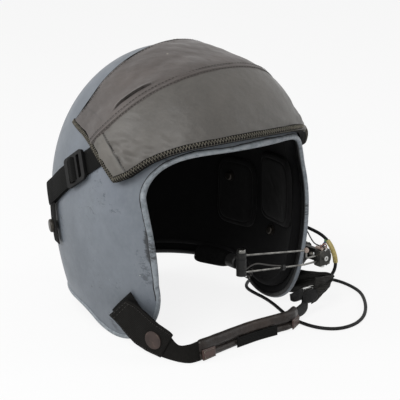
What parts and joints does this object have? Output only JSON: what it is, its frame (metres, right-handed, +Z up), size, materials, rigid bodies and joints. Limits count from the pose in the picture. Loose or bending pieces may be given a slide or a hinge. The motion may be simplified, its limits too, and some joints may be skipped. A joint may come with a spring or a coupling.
{
  "type": "pilot flight helmet",
  "caption": "Open-face pilot flight helmet with a leather covered visor, padded lining, chin strap, twin-wire boom microphone and a short communication cord.",
  "frame": {"origin": "bottom centre of the helmet's box on the table, on the helmet's plane of symmetry", "axes": "+Z up, -Y the way the wearer faces, +X the wearer's left, where the microphone boom and the cord are"},
  "size_m": [0.3225, 0.3033, 0.2862],
  "materials": {
    "shell_paint": "satin grey-green enamel, lightly worn",
    "edge_rubber": "matt black edging",
    "liner_foam": "black foam",
    "black_fabric": "black brushed fabric",
    "earphone_plastic": "black moulded plastic",
    "snap_metal": "worn snap",
    "cover_leather": "grained grey leather",
    "visor_tint": "smoke tinted",
    "webbing": "black webbing",
    "buckle_metal": "dark enamel",
    "tab_webbing": "grey woven webbing",
    "cap_bronze": "dark bronze",
    "pad_leather": "dark brown leather",
    "tan_leather": "tan leather",
    "bright_steel": "bright wire",
    "loop_fabric": "grey woven fabric",
    "boom_metal": "dull alloy",
    "black_plastic": "black moulding",
    "white_plastic": "white tip",
    "cord_rubber": "black cord",
    "sleeve_yellow": "pale yellow sleeve",
    "lead_wire": "thin lead"
  },
  "bodies": {
    "helmet": {"outer_shell": "shell_paint", "edge_trim": "edge_rubber", "impact_liner": "liner_foam", "crown_pad": "black_fabric", "nape_pad": "black_fabric", "liner_snaps": "snap_metal", "cover_front_panel": "cover_leather", "cover_crown_panel": "cover_leather", "cover_seam_welt": "cover_leather", "cover_edge_binding": "cover_leather", "visor_lens": "visor_tint", "visor_edge_roll": "edge_rubber", "strap_studs": "cap_bronze", "strap_buckles": "buckle_metal", "chin_tab_right": "tab_webbing", "chin_snap_cap": "cap_bronze", "chin_pad": "pad_leather", "pad_end_tabs": "tan_leather", "pad_band": "webbing", "ring_left": "bright_steel", "riser_left": "webbing", "chin_loop_left": "loop_fabric", "boom_boss": "black_plastic", "boom_pin": "boom_metal", "comm_cord": "cord_rubber", "cord_gland": "edge_rubber", "cord_sleeve": "sleeve_yellow", "plug_body": "cord_rubber", "plug_pin": "bright_steel", "boom_lead": "lead_wire", "lead_gland": "black_plastic", "earphone_left": "earphone_plastic", "earphone_right": "earphone_plastic", "ear_pad_left": "black_fabric", "ear_pad_right": "black_fabric", "temple_pad_left": "black_fabric", "temple_pad_right": "black_fabric", "neck_pad_left": "black_fabric", "neck_pad_right": "black_fabric", "cover_strap_left": "webbing", "cover_strap_right": "webbing", "rear_tab_left": "webbing", "rear_tab_right": "webbing", "chin_webbing_left": "webbing", "chin_webbing_right": "webbing"},
    "boom": {"boom_arm": "boom_metal", "boom_block": "boom_metal", "clamp_screws": "bright_steel", "lead_lugs": "white_plastic"},
    "mic_carrier": {"boom_wire_low": "bright_steel", "boom_wire_high": "bright_steel", "wire_knob": "white_plastic", "mic_post": "black_plastic", "mic_cap": "bright_steel", "lead_clip": "black_plastic", "mic_lead": "lead_wire"},
    "microphone": {"mic_capsule": "black_plastic", "mic_grille": "black_plastic"},
    "thumb_nut": {"boom_nut": "black_plastic"}
  },
  "joints": [
    {"name": "boom_swivel", "type": "hinge", "parent": "helmet", "child": "boom", "pos_m": [0.108, -0.0775, 0.058], "axis": [1, 0, 0], "range_deg": [-15, 15], "deforming": ["boom_lead"]},
    {"name": "boom_slide", "type": "slide", "parent": "boom", "child": "mic_carrier", "axis": [1, 0, 0], "range_m": [-0.004, 0.01]},
    {"name": "mic_turn", "type": "hinge", "parent": "mic_carrier", "child": "microphone", "pos_m": [-0.005, -0.1175, 0.07825], "axis": [0, 0, 1], "range_deg": [-30, 30]},
    {"name": "nut_turn", "type": "hinge", "parent": "helmet", "child": "thumb_nut", "pos_m": [0.1168, -0.0775, 0.058], "axis": [1, 0, 0], "continuous": true}
  ]
}
